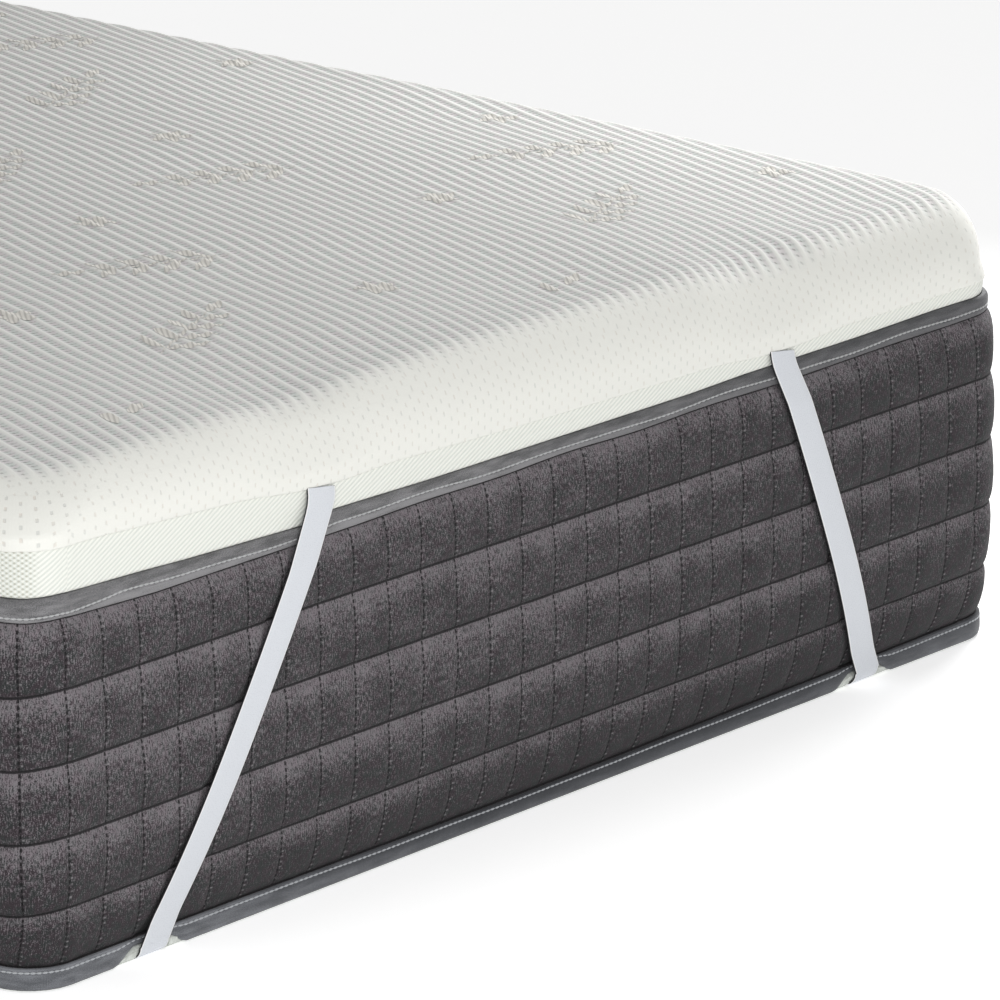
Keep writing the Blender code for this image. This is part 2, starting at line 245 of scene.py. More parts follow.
# Cross-section of a strap: share of the half width, and share of the thickness from its inner face
STRAP_SHAPE = (
    (-1.0, 0.5), (-0.985, 0.82), (-0.93, 1.0), (-0.5, 1.0), (0.0, 1.0), (0.5, 1.0), (0.93, 1.0),
    (0.985, 0.82), (1.0, 0.5), (0.985, 0.18), (0.93, 0.0), (0.0, 0.0), (-0.93, 0.0), (-0.985, 0.18),
)

# Where each strap leaves the topper and passes under the mattress, measured from its corner:
# on the side that begins at that corner, then on the side that ends there
Strap = namedtuple("Strap", "name next_top next_foot last_top last_foot")
STRAPS = (
    Strap("strap_front_left", 0.2445, 0.1022, 0.2400, 0.1160),
    Strap("strap_front_right", 0.2360, 0.1280, 0.2369, 0.1490),
    Strap("strap_back_right", 0.2380, 0.1200, 0.2410, 0.1240),
    Strap("strap_back_left", 0.2430, 0.1170, 0.2350, 0.1210),
)
TOP, FOOT = 0, 1

# Camera: the view direction as a compass angle from +Y and a dip, and the lens for a 36 mm sensor
CAMERA_PLACE = (-3.1102, -3.5529, 1.3966)
CAMERA_YAW = math.radians(49.549)
CAMERA_DIP = math.radians(16.590)
LENS = 260.42
FLOOR = 60.0

# The four sides in turn, seen from above
SIDES = ("front", "right", "back", "left")
HALF_X, HALF_Y = WIDTH / 2, LENGTH / 2
START = np.array([(-HALF_X, -HALF_Y), (HALF_X, -HALF_Y), (HALF_X, HALF_Y), (-HALF_X, HALF_Y)])
ALONG = np.array([(1.0, 0.0), (0.0, 1.0), (-1.0, 0.0), (0.0, -1.0)])
OUT = np.array([(0.0, -1.0), (1.0, 0.0), (0.0, 1.0), (-1.0, 0.0)])
SPAN = np.array([WIDTH, LENGTH, WIDTH, LENGTH])

# Length round the outermost line, from where the front's straight part begins
ARC = FOOT_CORNER * RIGHT_ANGLE
STRAIGHT = SPAN - 2 * FOOT_CORNER
BEGIN = np.concatenate([[0.0], np.cumsum(STRAIGHT + ARC)[:-1]])
AROUND = float((STRAIGHT + ARC).sum())
CELL = AROUND / CELLS


# Plain sums


def ramp(value, low, high):
    """0 at low, 1 at high, and smooth between."""
    share = np.clip((value - low) / (high - low), 0.0, 1.0)
    return share * share * (3 - 2 * share)


def between(first, last, share):
    """Part of the way from the first value to the last."""
    return first + (last - first) * share


def hump(value, most, middle, reach):
    """A smooth rise about the middle."""
    return most * np.exp(-(((value - middle) / reach) ** 2))


def tint(red, green, blue):
    """A shader's colour from one as a screen shows it, from 0 to 255."""
    shares = [c / 255 for c in (red, green, blue)]
    return tuple(c / 12.92 if c < 0.04045 else ((c + 0.055) / 1.055) ** 2.4 for c in shares) + (1.0,)


def ripple(x, y, seed, waves=7):
    """A smooth uneven surface, mostly from -1 to 1, with features about one unit long."""
    source = np.random.default_rng(seed)
    total = np.zeros(np.broadcast(x, y).shape)
    for _ in range(waves):
        turn = source.uniform(0, math.pi)
        rate = source.uniform(0.55, 1.5) * math.pi
        start = source.uniform(0, 2 * math.pi)
        total += np.sin(rate * (x * math.cos(turn) + y * math.sin(turn)) + start)
    return total / waves * 1.6


def turning_point(low, high, ahead):
    """Where ahead stops to hold on the way from low to high, by halves."""
    for _ in range(HALVINGS):
        middle = (low + high) / 2
        keep = ahead(middle)
        low, high = np.where(keep, middle, low), np.where(keep, high, middle)
    return (low + high) / 2


def run_length(rows):
    """Length along each column of points, from the first row."""
    return np.cumsum(np.linalg.norm(np.diff(rows, axis=0, prepend=rows[:1]), axis=-1), axis=0)


# The edge of the object


def edge_frame(around):
    """At lengths round the edge: the side, the distance into its straight part, and the way outwards.

    The distance is negative in the rounded corner before the side.
    """
    around = np.mod(np.asarray(around) + ARC, AROUND) - ARC
    side = np.searchsorted(BEGIN - ARC, around, side="right") - 1
    local = around - BEGIN[side]
    turn = (RIGHT_ANGLE * (1 + np.clip(local / ARC, -1, 0)))[..., None]
    return side, local, OUT[side - 1] * np.cos(turn) + OUT[side] * np.sin(turn)


def place(around, inset, height, radius=FOOT_CORNER):
    """Points this far in from the outermost line, whose corners have the radius given."""
    around, inset, height, radius = np.broadcast_arrays(around, inset, height, radius)
    side, local, out = edge_frame(around)
    distance = FOOT_CORNER + local
    near = np.clip((KNEE - distance) / (KNEE - FOOT_CORNER), 0, 1)
    away = np.clip((KNEE - (SPAN[side] - distance)) / (KNEE - FOOT_CORNER), 0, 1)
    rounded = local < 0
    distance = np.where(rounded, 0.0, distance + (radius - FOOT_CORNER) * (near - away))
    swing = np.where(rounded, radius, 0.0)[..., None] * (out - OUT[side] - OUT[side - 1])
    flat = START[side] + ALONG[side] * distance[..., None] + swing - out * inset[..., None]
    return np.concatenate([flat, height[..., None]], axis=-1)


def even_round(step):
    """Lengths round the whole edge, about a step apart."""
    count = round(AROUND / step)
    return np.arange(count) * AROUND / count


def away_from(around, centre):
    """Length round the edge from one place on it, by the shorter way."""
    return np.abs(np.mod(around - centre + AROUND / 2, AROUND) - AROUND / 2)


def far_from_front_left(side, distance):
    """Distance round the edge from the front left corner, by the shorter way."""
    options = (distance, WIDTH + distance, LENGTH + WIDTH - distance, LENGTH - distance)
    return np.choose(side, options)


def edge_far(around):
    """Distance from the front left corner at lengths round the edge, smooth round that corner."""
    side, local, _ = edge_frame(around)
    distance = np.where(local < 0, 0.0, FOOT_CORNER + local)
    near = (distance - FOOT_CORNER) * KNEE / (KNEE - FOOT_CORNER)
    distance = np.where(distance < KNEE, np.maximum(0.0, near), distance)
    return np.maximum(0.0, far_from_front_left(side, distance))


def side_straps(side):
    """The two straps on a side: which way each lies from its corner, and how far its top and foot."""
    first, last = STRAPS[side], STRAPS[(side + 1) % 4]
    return (1, first.next_top, first.next_foot), (-1, last.last_top, last.last_foot)


def from_start(side, way, distance):
    """Turns a distance from a strap's corner into one from the start of the side."""
    return distance if way > 0 else SPAN[side] - distance


def strap_reach(side, distance, centre, core, rim):
    """1 up to the core on both sides of a strap's centre, and falling smoothly to 0 at the rim."""
    reach = np.zeros(np.shape(distance))
    for index in range(4):
        for way, *ends in side_straps(index):
            away = np.abs(distance - from_start(index, way, centre(index, way, *ends)))
            reach = np.where(side == index, np.maximum(reach, 1 - ramp(away, core, rim)), reach)
    return reach


def strap_pull(side, distance, level, spread):
    """1 under a strap's top or foot, falling smoothly to 0 at the spread on both sides of it."""
    return strap_reach(side, distance, lambda index, way, *ends: ends[level], STRAP_WIDTH / 2, spread)


def edge_pull(around, level, spread):
    side, local, _ = edge_frame(around)
    return strap_pull(side, FOOT_CORNER + local, level, spread)


def top_rise(around):
    """The mattress's upper edge is pressed down beside the left strap, and stands up at its corners."""
    return np.interp(away_from(around, -ARC / 2), *np.array(TOP_RISE).T)


def seam_height(far, pull):
    """The seam between cover and band: high at the front left corner, lower at each strap."""
    extra = BAND_EXTRA / (1 + (far / BAND_FADE) ** BAND_POWER)
    return TOPPER_FLOOR + BAND_LEAST + extra - BAND_DIP * pull


def laid_along(x, y):
    """Length round the edge by place alone. Each corner is a fan, so that cloth hangs straight there."""
    room_x, room_y = HALF_X - TOP_CORNER, HALF_Y - TOP_CORNER
    over_x, over_y = np.abs(x) - room_x, np.abs(y) - room_y
    turn = np.arctan2(np.maximum(over_y, 0.0), np.maximum(over_x, 1e-9))
    # From the middle of the front or back, over the corner, to the middle of a side
    path = np.minimum(np.abs(x), room_x) + CORNER_PATH * (RIGHT_ANGLE - turn) + np.maximum(0.0, -over_y)
    path = np.where(x < 0, -path, path)
    half = 2 * (room_x + CORNER_PATH * RIGHT_ANGLE + room_y)
    return np.where(y < 0, path, half - path), 2 * half


# Meshes


def grid_faces(rows, columns, closed):
    """Quads between rows of points, joined end to end along each row where closed."""
    index = np.arange(rows * columns).reshape(rows, columns)
    after = np.roll(index, -1, axis=1)
    quads = np.stack([index[:-1], after[:-1], after[1:], index[1:]], axis=-1)
    if not closed:
        quads = quads[:, :-1]
    return quads.reshape(-1, 4)


def add_piece(name, points, faces, material):
    mesh = bpy.data.meshes.new(name)
    mesh.from_pydata(np.asarray(points).reshape(-1, 3).tolist(), [], np.asarray(faces).tolist())
    mesh.shade_smooth()
    mesh.materials.append(material)
    obj = bpy.data.objects.new(name, mesh)
    bpy.context.scene.collection.objects.link(obj)
    return obj


def add_ring(name, rings, material, across, along, whole=AROUND, flip=True):
    """A closed strip through rings of points, with its place on its cloth."""
    faces = grid_faces(len(rings), len(rings[0]), True)
    obj = add_piece(name, rings, faces[:, ::-1] if flip else faces, material)
    lay_cloth(obj, across, along, whole)
    return obj


def lay_cloth(obj, across, along, whole=None):
    """Stores each point's place on its cloth, in metres, for the weave to follow.

    The faces that close a ring of this whole length run on past its end.
    """
    mesh = obj.data
    index = np.empty(len(mesh.loops), np.int32)
    mesh.loops.foreach_get("vertex_index", index)
    places = np.stack(np.broadcast_arrays(across, along), axis=-1).reshape(-1, 2)[index]
    if whole:
        places = places.reshape(-1, 4, 2)
        furthest = places[..., 0].max(axis=1, keepdims=True)
        places[places[..., 0] < furthest - whole / 2, 0] += whole
    layer = mesh.uv_layers.new(name="cloth")
    layer.data.foreach_set("uv", places.astype(np.float32).ravel())


def mark_points(obj, name, values):
    """Stores a value for every point, or the values of one row for all rows."""
    layer = obj.data.attributes.new(name, "FLOAT", "POINT")
    layer.data.foreach_set("value", np.resize(values, len(obj.data.vertices)).astype(np.float32))


def join(objects, name):
    bpy.ops.object.select_all(action="DESELECT")
    for obj in objects:
        obj.select_set(True)
    bpy.context.view_layer.objects.active = objects[0]
    bpy.ops.object.join()
    objects[0].name = name
    return objects[0]


def settle(obj, slot, *nodes):
    """Ties a finished piece to the object, and hides the solids whose place it takes."""
    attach(obj, "root")
    if nodes:
        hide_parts(*nodes)


# Materials


class Weave:
    """The nodes of one material, with short names for the kinds that it uses."""

    def __init__(self, name, roughness, sheen=0.1):
        self.material = bpy.data.materials.new(name)
        self.material.use_nodes = True
        self.tree = self.material.node_tree
        self.shader = self.tree.nodes["Principled BSDF"].inputs
        self.set("Roughness", roughness)
        self.set("Specular IOR Level", 0.25)
        self.set("Sheen Weight", sheen)

    def set(self, name, value):
        self.shader[name].default_value = value

    def put(self, value, socket):
        if isinstance(value, bpy.types.NodeSocket):
            self.tree.links.new(value, socket)
        else:
            socket.default_value = value

    def add(self, kind, *values):
        """A new node, with values for its first inputs."""
        node = self.tree.nodes.new("ShaderNode" + kind)
        for value, socket in zip(values, node.inputs):
            self.put(value, socket)
        return node

    def math(self, operation, *values):
        node = self.add("Math", *values)
        node.operation = operation
        return node.outputs[0]

    def split(self, vector):
        return self.add("SeparateXYZ", vector).outputs[:2]

    def place(self):
        """The place on the cloth, across and along, in metres."""
        where = self.add("UVMap")
        where.uv_map = "cloth"
        return self.split(where.outputs[0])

    def mark(self, name):
        node = self.add("Attribute")
        node.attribute_name = name
        return node.outputs["Fac"]

    def ramp(self, value, low, high, first=0.0, last=1.0):
        node = self.add("MapRange", value, low, high, first, last)
        node.interpolation_type = "SMOOTHSTEP"
        return node.outputs[0]

    def mix(self, share, first, second):
        node = self.add("Mix", share)
        node.data_type = "RGBA"
        self.put(first, node.inputs[6])
        self.put(second, node.inputs[7])
        return node.outputs[2]

    def layers(self, colour, *layers):
        """Lays more colours over one: where each shows, how strongly, and what it is."""
        for where, strength, over in layers:
            colour = self.mix(self.times(where, strength), colour, over)
        return colour

    def noise(self, x, y, width, height, detail=1.0):
        """Uneven shading from 0 to 1, in spots of the width and height given."""
        where = self.add("CombineXYZ", self.math("DIVIDE", x, width), self.math("DIVIDE", y, height))
        node = self.add("TexNoise", where.outputs[0])
        node.inputs["Scale"].default_value = 1.0
        node.inputs["Detail"].default_value = detail
        return node.outputs[0]

    def from_line(self, value, pitch):
        """Distance to the nearest of many even lines, in metres."""
        part = self.math("FRACT", self.math("MULTIPLY_ADD", value, 1 / pitch, 0.5))
        return self.times(self.math("ABSOLUTE", self.math("SUBTRACT", part, 0.5)), pitch)

    def lines(self, value, pitch, core, rim):
        """1 in the core of each of many even lines, falling to 0 at its rim."""
        return self.ramp(self.from_line(value, pitch), core, rim, 1.0, 0.0)

    def times(self, first, second):
        return self.math("MULTIPLY", first, second)

    def sums(self, *terms):
        """Adds up pairs of a value and its factor."""
        total = 0.0
        for value, factor in terms:
            total = self.math("MULTIPLY_ADD", value, factor, total)
        return total

    def finish(self, colour, height, strength):
        """Joins up the colour and a height in metres."""
        self.put(colour, self.shader["Base Color"])
        bump = self.add("Bump")
        bump.inputs["Strength"].default_value = strength
        bump.inputs["Distance"].default_value = 1.0
        self.put(height, bump.inputs["Height"])
        self.put(bump.outputs[0], self.shader["Normal"])
        return self.material


KNIT = tint(224, 224, 218)
# The ribbed top is coloured a little greyer than the sides: painted shade where light grazes the top
KNIT_TOP_SHADE = tint(220, 220, 216)
# The valleys' greyer tints and the dark dots in the pits are partly the knit's own tone and partly painted
# shade in the grooves and pits
VALLEY_PINK = tint(210, 205, 206)
VALLEY_GREEN = tint(203, 208, 204)
KNIT_HATCH = tint(166, 167, 164)
KNIT_DOT = tint(140, 140, 136)
PIN_WARM = tint(203, 194, 184)
PIN_GREY = tint(188, 190, 186)
HATCH_SLANT = 0.6
DOT_PITCH = 0.0046
PIN_ACROSS = 0.0058
PIN_ALONG = 0.0077


def ribbed_knit():
    """Ivory knit, a little greyer on the ribbed top as painted shade: hatched grey valleys with pits between
    the ribs, their tint and dots partly painted shade, and faint pins down the sides.
    """
    knit = Weave("ribbed_knit", roughness=0.92)
    x, y = knit.place()
    ribbed = knit.mark("ribbed")
    from_ridge = knit.from_line(x, RIB_PITCH)
    valley = knit.times(knit.ramp(from_ridge, 0.0011, 0.0027), ribbed)
    from_row = knit.from_line(knit.sums((x, HATCH_SLANT), (y, 1.0)), DOT_PITCH)
    hatch = knit.times(knit.ramp(from_row, 0.0004, 0.0011, 1.0, 0.0), valley)
    from_valley = knit.math("SUBTRACT", RIB_PITCH / 2, from_ridge)
    from_dot = knit.math("SQRT", knit.sums((from_valley, from_valley), (from_row, from_row)))
    dot = knit.times(knit.ramp(from_dot, 0.0005, 0.0012, 1.0, 0.0), knit.mark("pitted"))
    column = knit.math("FLOOR", knit.math("MULTIPLY_ADD", x, 1 / PIN_ACROSS, 0.5))
    shifted = knit.math("MULTIPLY_ADD", column, PIN_ALONG / 2, y)
    pin = knit.times(knit.lines(x, PIN_ACROSS, 0.0003, 0.0008), knit.mark("pinned"))
    pin = knit.times(pin, knit.lines(shifted, PIN_ALONG, 0.0008, 0.0017))
    patch = knit.ramp(knit.noise(x, y, 0.007, 0.007), 0.4, 0.6)
    colour = knit.layers(
        KNIT, (ribbed, 1.0, KNIT_TOP_SHADE), (valley, 1.0, knit.mix(patch, VALLEY_PINK, VALLEY_GREEN)),
        (hatch, 0.4, KNIT_HATCH), (dot, 0.6, KNIT_DOT), (pin, 0.42, knit.mix(patch, PIN_WARM, PIN_GREY)),
    )
    fine = knit.noise(x, y, 0.0009, 0.0012, 2.0)
    wales = knit.from_line(x, 0.0013)
    height = knit.sums((dot, -0.0004), (hatch, -0.0002), (pin, -0.0002), (fine, 0.00012), (wales, 0.06))
    return knit.finish(colour, height, 0.9)


def motif_thread():
    """Pale beige thread, in short slanting stitches."""
    thread = Weave("motif_thread", roughness=0.8)
    x, y = thread.place()
    stitch = thread.from_line(thread.sums((x, 1.0), (y, -0.8)), 0.0034)
    shade = thread.ramp(stitch, 0.0003, 0.0010)
    colour = thread.mix(shade, tint(198, 195, 189), tint(223, 220, 213))
    return thread.finish(colour, thread.times(shade, 0.0003), 0.8)


BAND_CLOTH = tint(229, 230, 223)
BAND_LINE = tint(210, 213, 206)
BAND_HOLE = tint(178, 178, 166)
BAND_PITCH = 0.0026
BAND_SLANT = math.radians(28.7)


def mesh_band():
    """Off-white mesh with fine slanting lines, crossed by a second set at the corner."""
    mesh = Weave("mesh_band", roughness=0.8)
    x, y = mesh.place()
    across, up = math.sin(BAND_SLANT), math.cos(BAND_SLANT)
    line = mesh.lines(mesh.sums((x, -across), (y, up)), BAND_PITCH, 0.0003, 0.0009)
    cross = mesh.lines(mesh.sums((x, across), (y, up)), BAND_PITCH, 0.0003, 0.0009)
    cross = mesh.times(cross, mesh.mark("corner"))
    shade = mesh.math("MAXIMUM", line, cross)
    colour = mesh.layers(BAND_CLOTH, (shade, 1.0, BAND_LINE), (line, cross, BAND_HOLE))
    fine = mesh.noise(x, y, 0.0008, 0.0008, 2.0)
    return mesh.finish(colour, mesh.sums((shade, -0.0003), (fine, 0.0001)), 0.8)


VELOUR_DARK = tint(23, 21, 23)
VELOUR_LIGHT = tint(122, 116, 120)
VELOUR_RED = tint(92, 78, 86)
VELOUR_GREEN = tint(74, 84, 82)
THREAD_DARK = tint(16, 15, 17)
LOOP_LIGHT = tint(132, 129, 131)
LOOP_BESIDE = 0.0017
STITCH = 0.0039


def quilted_velour():
    """Dark taupe velour with a short streaky pile, painted lighter towards the top of each row and darker in
    the lowest rows as painted light and shade, and black stitches along every seam.
    """
    pile = Weave("quilted_velour", roughness=0.85, sheen=0.06)
    x, y = pile.place()
    streak = pile.noise(x, y, 0.0009, 0.0034, 1.0)
    speck = pile.noise(x, y, 0.0008, 0.0008, 1.0)
    patch = pile.noise(x, y, 0.020, 0.024, 2.0)
    # Painted light and shade: each row is coloured lighter towards its top, the lowest rows darker, and the
    # marked part darker still
    up_row = pile.math("FRACT", pile.math("DIVIDE", y, ROW))
    shade = pile.sums(
        (streak, 0.50), (speck, 0.50), (patch, 0.18), (up_row, 0.08), (pile.ramp(up_row, 0.55, 1.0), 0.09),
        (pile.ramp(y, 0.0, ROW * 2.2), 0.07), (pile.mark("shaded"), -0.045), (1.0, 0.045),
    )
    colour = pile.mix(pile.ramp(shade, 0.68, 0.95), VELOUR_DARK, VELOUR_LIGHT)
    hue = pile.ramp(pile.noise(x, y, 0.005, 0.006), 0.35, 0.65)
    colour = pile.mix(0.18, colour, pile.mix(hue, VELOUR_RED, VELOUR_GREEN))
    dash = pile.lines(y, STITCH, 0.0008, 0.0013)
    upright = pile.lines(pile.math("SUBTRACT", x, FIRST_SEAM), CELL, 0.0005, 0.0010)
    upright = pile.times(upright, pile.sums((dash, 0.80), (1.0, 0.20)))
    loop = pile.lines(pile.math("SUBTRACT", x, FIRST_SEAM + LOOP_BESIDE), CELL, 0.0004, 0.0011)
    loop = pile.times(loop, pile.ramp(pile.from_line(y, STITCH), 0.0010, 0.0017))
    loop = pile.times(loop, pile.ramp(pile.noise(x, y, 0.004, 0.005), 0.40, 0.62))
    thread = pile.math("MAXIMUM", upright, pile.lines(y, ROW, 0.0005, 0.0011))
    colour = pile.layers(colour, (loop, 0.6, LOOP_LIGHT), (thread, 0.92, THREAD_DARK))
    height = pile.sums((streak, 0.0004), (speck, 0.0004), (thread, -0.0004), (loop, 0.0003))
    return pile.finish(colour, height, 0.8)


# The colour of the tapes' painted shade
TAPE_SHADE = tint(30, 32, 38)


def edge_tape(name, dark, light):
    """Closely woven tape with fine cross ribs, lighter in patches, with painted light along its sewn edge and
    painted shade where marked.
    """
    tape = Weave(name, roughness=0.62, sheen=0.15)
    x, y = tape.place()
    rib = tape.from_line(x, 0.0011)
    speck = tape.noise(x, y, 0.0006, 0.0006)
    patch = tape.noise(x, y, 0.022, 0.004, 2.0)
    # Painted light: the lip between the sewn edge and the stitches is coloured lighter
    shade = tape.sums((speck, 0.60), (patch, 0.60), (tape.mark("lip"), 0.16))
    colour = tape.mix(tape.ramp(shade, 0.42, 0.82), dark, light)
    # Painted shade where the shade mark is set
    colour = tape.mix(tape.mark("shade"), colour, TAPE_SHADE)
    return tape.finish(colour, tape.sums((rib, 0.25), (speck, 0.0002)), 0.8)


def sewing_thread(name, shade):
    thread = Weave(name, roughness=0.5)
    x, y = thread.place()
    twist = thread.from_line(thread.sums((x, 1.0), (y, 1.5)), 0.0006)
    colour = thread.mix(thread.ramp(twist, 0.0, 0.0003), tint(*(c * 0.75 for c in shade)), tint(*shade))
    return thread.finish(colour, thread.times(twist, 0.3), 0.6)


ELASTIC = tint(206, 209, 214)
ELASTIC_SHADE = tint(192, 195, 201)
# Lighter colour for the strap's edges: a painted highlight
ELASTIC_EDGE_HIGHLIGHT = tint(226, 226, 226)
# Near black for the strap's narrow sides: painted shadow
ELASTIC_SIDE_SHADOW = tint(24, 24, 28)


def elastic():
    """Bluish white elastic, finely ribbed across, with a painted highlight along its edges and painted shadow
    on its narrow sides.
    """
    band = Weave("elastic", roughness=0.7)
    x, y = band.place()
    half = STRAP_WIDTH / 2
    off_middle = band.math("ABSOLUTE", x)
    speck = band.noise(x, y, 0.0008, 0.0008)
    colour = band.mix(band.ramp(speck, 0.45, 0.75, 0.0, 0.7), ELASTIC, ELASTIC_SHADE)
    # Painted highlight: the strap is coloured lighter near its edges
    colour = band.mix(band.ramp(off_middle, half - 0.0016, half - 0.0006), colour, ELASTIC_EDGE_HIGHLIGHT)
    # Painted shadow: the strap's narrow sides are coloured near black where a gap shadow falls beside it
    colour = band.mix(band.ramp(off_middle, half * 0.955, half * 0.985), colour, ELASTIC_SIDE_SHADOW)
    rib, cord = band.from_line(y, 0.0012), band.from_line(x, 0.0016)
    return band.finish(colour, band.sums((rib, 0.10), (cord, 0.08), (speck, 0.00008)), 0.6)


def base_cloth():
    """Pale non-woven cloth with a fine felted surface, laid by the place on its solid."""
    felt = Weave("base_cloth", roughness=0.95, sheen=0.0)
    x, y = felt.split(felt.add("TexCoord").outputs["Object"])
    fibre = felt.noise(x, y, 0.002, 0.0015, 3.0)
    colour = felt.mix(felt.ramp(fibre, 0.35, 0.7), tint(186, 190, 184), tint(208, 211, 206))
    return felt.finish(colour, felt.times(fibre, 0.0004), 0.7)


# Topper cover


def edge_wave(x, y):
    """A slight unevenness along the topper's sides."""
    return WAVE * (np.sin(WAVE_RATES[0] * x + 1.0) + np.sin(WAVE_RATES[1] * y + 2.0)) / 2


def crown_height(x, y):
    """The upper side's height without ribs and unevenness."""
    across = 1 - np.minimum(1.0, (x / HALF_X) ** 2)
    along = 1 - np.minimum(1.0, (y / HALF_Y) ** 2)
    return TOPPER_EDGE + CROWN * across * along


def shoulder_radius(x, y, turn):
    """The corners widen towards the top, but the front right one is full and even."""
    widening = between(FOOT_CORNER, TOP_CORNER, np.sin(turn))
    return np.where((x > 0) & (y < 0), FRONT_RIGHT_CORNER, widening)


def dent_pull(side, pull):
    """The straps on the long sides hardly dent the cover."""
    return pull * np.where(side % 2 == 0, 1.0, LONG_SIDE_PULL)


def shoulder_inset(x, y, pull, turn):
    """How far in the shoulder lies, part of the way round it, with the dents of the straps."""
    dent = DIMPLE * pull * np.sin(turn * 2) * (1 - turn / math.pi)
    return COVER_INSET + edge_wave(x, y) + SHOULDER * (1 - np.cos(turn)) + dent


def inset_of(x, y, radius):
    """How far a point lies in from the outermost line, whose corners have the radius given."""
    over_x = np.abs(x) - (HALF_X - radius)
    over_y = np.abs(y) - (HALF_Y - radius)
    in_corner = (over_x > 0) & (over_y > 0)
    return np.where(in_corner, radius - np.hypot(over_x, over_y), radius - np.maximum(over_x, over_y))


def nearest_side(x, y):
    """The nearest edge's distance from the front left corner, a strap's pull there, and its dent."""
    flat = np.stack([x, y], axis=-1)
    side = np.argmin([-(flat - START[n]) @ OUT[n] for n in range(4)], axis=0)
    distance = np.choose(side, [(flat - START[n]) @ ALONG[n] for n in range(4)])
    pull = strap_pull(side, distance, TOP, DIMPLE_SPREAD)
    return np.maximum(0.0, far_from_front_left(side, distance)), pull, dent_pull(side, pull)


def shoulder_turn(x, y, pull):
    """How far round the shoulder a point of the top lies: a right angle where it is flat."""
    def inside(turn):
        return inset_of(x, y, shoulder_radius(x, y, turn)) > shoulder_inset(x, y, pull, turn)

    return turning_point(0 * x, 0 * x + RIGHT_ANGLE, inside)


def swell(x, y, far_in, pull):
    """The soft unevenness of the filling, and a sag above each strap."""
    uneven = SWELL * ripple(x / SWELL_LENGTH, y / SWELL_LENGTH, 51)
    return uneven * ramp(far_in, *SWELL_FROM) - SAG * pull**2 * np.exp(-far_in / SAG_REACH)


def cover_height(x, y):
    """The height of the cover's upper side, without its ribs."""
    far, pull, dent = nearest_side(x, y)
    seam = seam_height(far, pull)
    bulge = between(seam, TOPPER_EDGE, BULGE_SHARE)
    share = np.sin(shoulder_turn(x, y, dent))
    far_in = inset_of(x, y, TOP_CORNER)
    crown = between(bulge, crown_height(x, y), share)
    return crown + swell(x, y, far_in, dent) * ramp(share, 0.64, 1.0)


def panel_room(x, y):
    """How far inside the panel's edge a point lies."""
    dent = nearest_side(x, y)[2]
    return inset_of(x, y, shoulder_radius(x, y, PANEL_TURN)) - shoulder_inset(x, y, dent, PANEL_TURN)


def on_rib(column, y):
    """Where a rib lies across. The ribs slant, and wander a little."""
    wander = WANDER * ripple(column / WANDER_LENGTH / 1.6, y / WANDER_LENGTH, 61)
    return column + y * RIB_LEAN + wander


def find_rows(columns, middle, outside):
    """Where each column reaches each depth of PANEL_ROWS, from its end on one side."""
    depths = np.array(PANEL_ROWS)[:, None]
    reached = turning_point(outside, middle, lambda y: panel_room(on_rib(columns, y), y) <= depths)
    shares = np.arange(len(depths))[:, None] / (len(depths) + PANEL_STEPS / 2)
    limit = between(reached[0], middle, shares)
    return np.where(middle > reached[0], np.minimum(reached, limit), np.maximum(reached, limit))


def rib_columns():
    """Places across of all columns of points, each with the depth of the rib there."""
    step = RIB_PITCH / math.cos(RIB_SKEW)
    count = math.ceil((HALF_X + HALF_Y * RIB_LEAN) / step)
    shares, depths = np.array(RIB_SHAPE).T
    columns = (np.arange(-count, count + 1)[:, None] + shares) * step
    return columns.ravel(), np.tile(depths, 2 * count + 1)


def panel_grid():
    """Points of the top panel, in rows that each take in every column."""
    columns, depths = rib_columns()
    start = np.maximum(-HALF_Y, (-HALF_X - columns) / RIB_LEAN)
    stop = np.minimum(HALF_Y, (HALF_X - columns) / RIB_LEAN)
    middle = (start + stop) / 2
    kept = panel_room(on_rib(columns, middle), middle) > LEAST_ROOM
    columns, depths, start, stop, middle = (part[kept] for part in (columns, depths, start, stop, middle))
    near = find_rows(columns, middle, start - UNDERLAP)
    away = find_rows(columns, middle, stop + UNDERLAP)
    shares = (1 - np.cos(math.pi * np.arange(1, PANEL_STEPS) / PANEL_STEPS))[:, None] / 2
    return columns, depths, np.concatenate([near, between(near[-1], away[-1], shares), away[::-1]])


def cover_top(material):
    """The ribbed panel, and its columns with the y and z of their points."""
    columns, depths, y = panel_grid()
    x = on_rib(columns, y)
    inset = inset_of(x, y, shoulder_radius(x, y, PANEL_TURN))
    at_edge = ramp(inset - shoulder_inset(x, y, 0.0, PANEL_TURN), 0.0, 0.006)
    inset = inset + FADE_SHIFT * ramp(nearest_side(x, y)[0], *FADE_SHIFT_SPAN)
    z = cover_height(x, y) - RIB_DEPTH * depths * ramp(inset, *RIB_FADE)
    panel = add_piece("cover_top", np.stack([x, y, z], axis=-1), grid_faces(*x.shape, False), material)
    lay_cloth(panel, columns * math.cos(RIB_SKEW), y / math.cos(RIB_SKEW))
    mark_points(panel, "ribbed", ramp(inset, *SHADE_FADE))
    mark_points(panel, "pitted", ramp(inset, *PIT_FADE) * at_edge)
    mark_points(panel, "pinned", 1 - ramp(inset, *PIN_FADE))
    return panel, (columns, y, z)


